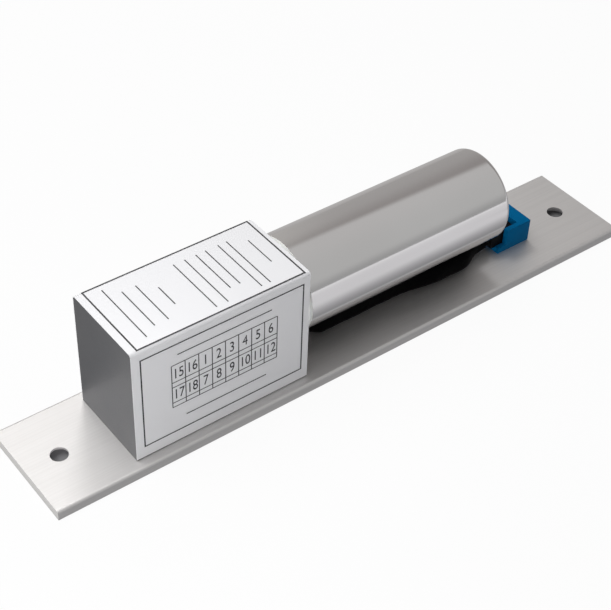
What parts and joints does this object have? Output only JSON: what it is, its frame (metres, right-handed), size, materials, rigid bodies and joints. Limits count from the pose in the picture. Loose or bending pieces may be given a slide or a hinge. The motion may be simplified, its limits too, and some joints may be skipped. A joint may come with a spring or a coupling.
{
  "type": "electric bolt lock",
  "caption": "Electric drop bolt lock: face plate, box housing with a crank and round bolt, push solenoid in a steel can, control board in a sleeve and a small lead connector.",
  "frame": {"origin": "centre of the face plate's outer face, which the lock rests on", "axes": "+X along the plate from the housing to the connector, +Z from the outer face towards the can; the bolt moves out along -Z"},
  "size_m": [0.205, 0.035, 0.0416],
  "materials": {
    "plate_steel": "brushed along the plate",
    "housing_metal": "satin grey casting",
    "label_white": "white printed film",
    "zinc_steel": "bright zinc plate",
    "guide_brass": "turned",
    "pin_steel": "ground",
    "can_steel": "polished stainless",
    "collar_nylon": "white nylon",
    "core_iron": "turned soft iron",
    "bobbin_nylon": "natural nylon",
    "coil_copper": "enamelled copper wire",
    "buffer_rubber": "moulded",
    "lead_black": "insulated lead",
    "shrink_black": "heat-shrink sleeve",
    "board_green": "printed board",
    "chip_black": "moulded",
    "reed_glass": "clear green glass",
    "plug_black": "moulded",
    "socket_blue": "moulded blue",
    "contact_tin": "plated contact",
    "spring_steel": "drawn wire",
    "bolt_steel": "turned stainless",
    "crank_steel": "sintered steel"
  },
  "bodies": {
    "base": {"face_plate": "plate_steel", "housing": "housing_metal", "label": "label_white", "housing_screws": "zinc_steel", "bracket_screws": "zinc_steel", "crank_bracket": "zinc_steel", "pole_nut": "zinc_steel", "bolt_guide": "guide_brass", "plunger_sleeve": "guide_brass", "pivot_pin": "pin_steel", "pivot_clip": "pin_steel", "solenoid_can": "can_steel", "front_collar": "collar_nylon", "front_yoke": "core_iron", "pole_piece": "core_iron", "rear_yoke": "core_iron", "bobbin": "bobbin_nylon", "coil_winding": "coil_copper", "end_buffer": "buffer_rubber", "coil_leads": "lead_black", "harness_leads": "lead_black", "board_sleeve": "shrink_black", "control_board": "board_green", "driver_parts": "chip_black", "reed_switch": "reed_glass", "lead_plug": "plug_black", "connector_socket": "socket_blue", "contact_pins": "contact_tin", "return_spring": "spring_steel"},
    "bolt_unit": {"bolt": "bolt_steel", "bolt_cross_pin": "pin_steel"},
    "crank_unit": {"crank": "crank_steel"},
    "plunger_unit": {"plunger": "core_iron", "push_rod": "bolt_steel", "rod_clevis": "zinc_steel", "clevis_pin": "pin_steel"}
  },
  "joints": [
    {"name": "bolt_slide", "type": "slide", "parent": "base", "child": "bolt_unit", "axis": [0, 0, -1], "range_m": [0, 0.016], "stiffness_N_per_m": 200, "springref_m": -0.02},
    {"name": "crank_hinge", "type": "hinge", "parent": "base", "child": "crank_unit", "pos_m": [-0.0408, 0, 0.0193], "axis": [0, -1, 0], "range_deg": [0, 53.13]},
    {"name": "plunger_slide", "type": "slide", "parent": "base", "child": "plunger_unit", "axis": [-1, 0, 0], "range_m": [0, 0.0078], "deforming": ["return_spring"]}
  ],
  "couplings": [
    {"joint": "crank_hinge", "follows": "bolt_slide", "rad_per_m": 57.956},
    {"joint": "plunger_slide", "follows": "bolt_slide", "ratio": 0.4875}
  ]
}
